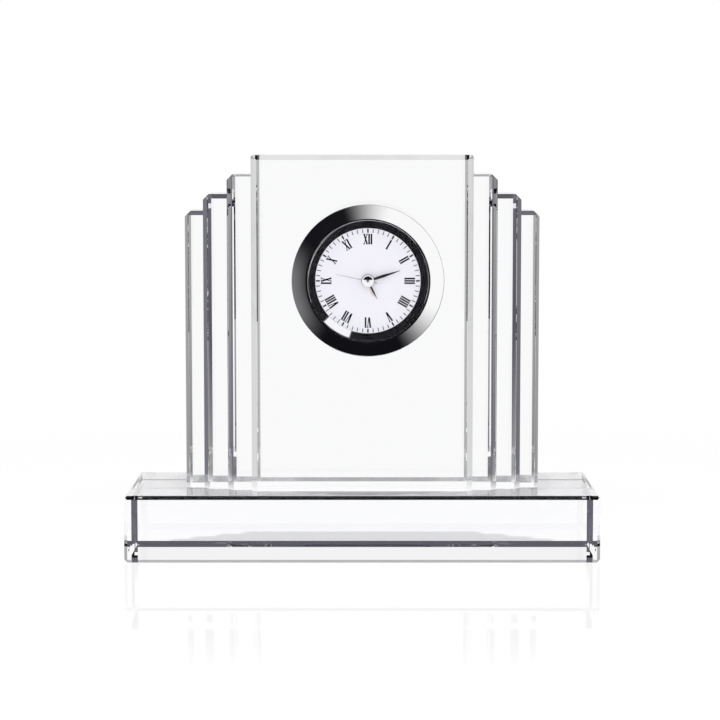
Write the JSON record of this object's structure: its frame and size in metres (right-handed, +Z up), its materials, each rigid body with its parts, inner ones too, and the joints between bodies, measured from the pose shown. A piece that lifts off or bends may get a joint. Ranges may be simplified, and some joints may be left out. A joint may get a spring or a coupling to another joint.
{
  "type": "desk clock",
  "caption": "Stepped crystal desk clock on a crystal base, with a round chrome-bezelled alarm clock insert.",
  "frame": {"origin": "middle of the base's underside", "axes": "+X to the right seen from the front, +Y to the back, +Z up; the dial faces -Y"},
  "size_m": [0.1528, 0.054, 0.1304],
  "materials": {
    "crystal": "clear polished crystal",
    "lens": "clear mineral glass",
    "chrome": "polished",
    "dial": "white, printed numerals",
    "black_hands": "satin black",
    "silver_hand": "satin",
    "copper_hand": "metallic pale copper",
    "case_plastic": "moulded black",
    "rubber": "ribbed",
    "gear_plastic": "natural",
    "brass": "satin",
    "steel": "satin",
    "copper_wire": "enamelled winding wire",
    "board": "green board",
    "chip_black": "moulded"
  },
  "bodies": {
    "crystal": {"base_block": "crystal", "centre_block": "crystal", "left_inner_column": "crystal", "left_middle_column": "crystal", "left_outer_column": "crystal", "right_inner_column": "crystal", "right_middle_column": "crystal", "right_outer_column": "crystal"},
    "clock_insert": {"bezel": "chrome", "lens": "lens", "reflector_ring": "chrome", "dial": "dial", "movement_case": "case_plastic", "grip_ring": "rubber", "main_plate": "gear_plastic", "bridge": "gear_plastic", "stator": "steel", "coil": "copper_wire", "circuit_board": "board", "chip": "chip_black", "quartz_can": "steel", "battery": "steel", "negative_contact": "brass", "positive_contact": "brass", "back_cover": "case_plastic", "buzzer_disc": "brass", "cover_screw_1": "steel", "cover_screw_2": "steel", "cover_screw_3": "steel"},
    "minute_hand_body": {"minute_hand": "black_hands", "cannon_pinion": "brass"},
    "hour_hand_body": {"hour_hand": "black_hands", "hour_wheel": "gear_plastic"},
    "second_hand_body": {"second_hand": "silver_hand", "seconds_arbor": "steel"},
    "alarm_hand_body": {"alarm_hand": "copper_hand", "alarm_wheel": "gear_plastic"},
    "minute_wheel_body": {"minute_wheel": "gear_plastic"},
    "centre_wheel_body": {"centre_wheel": "brass"},
    "third_wheel_body": {"third_wheel": "gear_plastic"},
    "fifth_wheel_body": {"fifth_wheel": "gear_plastic"},
    "rotor_body": {"rotor": "steel"},
    "time_set_knob_body": {"time_set_knob": "case_plastic"},
    "alarm_set_knob_body": {"alarm_set_knob": "case_plastic"},
    "battery_hatch_body": {"battery_hatch": "case_plastic"},
    "alarm_switch_body": {"alarm_switch": "case_plastic"}
  },
  "joints": [
    {"name": "insert_pull", "type": "slide", "parent": "crystal", "child": "clock_insert", "axis": [0, -1, 0], "range_m": [0, 0.03]},
    {"name": "minute_hand_turn", "type": "hinge", "parent": "clock_insert", "child": "minute_hand_body", "pos_m": [0.00185, -0.012, 0.09005], "axis": [0, 1, 0], "continuous": true},
    {"name": "hour_hand_turn", "type": "hinge", "parent": "clock_insert", "child": "hour_hand_body", "pos_m": [0.00185, -0.012, 0.09005], "axis": [0, 1, 0], "continuous": true},
    {"name": "second_hand_turn", "type": "hinge", "parent": "clock_insert", "child": "second_hand_body", "pos_m": [0.00185, -0.012, 0.09005], "axis": [0, 1, 0], "continuous": true},
    {"name": "alarm_hand_turn", "type": "hinge", "parent": "clock_insert", "child": "alarm_hand_body", "pos_m": [0.00185, -0.012, 0.09005], "axis": [0, 1, 0], "continuous": true},
    {"name": "minute_wheel_turn", "type": "hinge", "parent": "clock_insert", "child": "minute_wheel_body", "pos_m": [-0.00361, -0.012, 0.0932], "axis": [0, 1, 0], "continuous": true},
    {"name": "centre_wheel_turn", "type": "hinge", "parent": "clock_insert", "child": "centre_wheel_body", "pos_m": [0.00185, -0.012, 0.09005], "axis": [0, 1, 0], "continuous": true},
    {"name": "third_wheel_turn", "type": "hinge", "parent": "clock_insert", "child": "third_wheel_body", "pos_m": [0.00684, -0.012, 0.09293], "axis": [0, 1, 0], "continuous": true},
    {"name": "fifth_wheel_turn", "type": "hinge", "parent": "clock_insert", "child": "fifth_wheel_body", "pos_m": [0.00185, -0.012, 0.08417], "axis": [0, 1, 0], "continuous": true},
    {"name": "rotor_turn", "type": "hinge", "parent": "clock_insert", "child": "rotor_body", "pos_m": [0.00377, -0.012, 0.08085], "axis": [0, 1, 0], "continuous": true},
    {"name": "time_set_knob_turn", "type": "hinge", "parent": "clock_insert", "child": "time_set_knob_body", "pos_m": [-0.00907, -0.012, 0.09635], "axis": [0, 1, 0], "continuous": true},
    {"name": "alarm_set_knob_turn", "type": "hinge", "parent": "clock_insert", "child": "alarm_set_knob_body", "pos_m": [0.00126, -0.012, 0.09674], "axis": [0, 1, 0], "continuous": true},
    {"name": "battery_hatch_turn", "type": "hinge", "parent": "clock_insert", "child": "battery_hatch_body", "pos_m": [-0.00974, -0.012, 0.08373], "axis": [0, 1, 0], "range_deg": [0, 25]},
    {"name": "alarm_switch_slide", "type": "slide", "parent": "clock_insert", "child": "alarm_switch_body", "axis": [0, 0, -1], "range_m": [0, 0.0025]}
  ],
  "couplings": [
    {"joint": "minute_wheel_turn", "follows": "minute_hand_turn", "ratio": -0.33333},
    {"joint": "hour_hand_turn", "follows": "minute_hand_turn", "ratio": 0.083333},
    {"joint": "time_set_knob_turn", "follows": "minute_hand_turn", "ratio": 1},
    {"joint": "alarm_set_knob_turn", "follows": "alarm_hand_turn", "ratio": -3},
    {"joint": "third_wheel_turn", "follows": "second_hand_turn", "ratio": -0.13333},
    {"joint": "centre_wheel_turn", "follows": "second_hand_turn", "ratio": 0.016667},
    {"joint": "fifth_wheel_turn", "follows": "second_hand_turn", "ratio": -6},
    {"joint": "rotor_turn", "follows": "second_hand_turn", "ratio": 30}
  ]
}
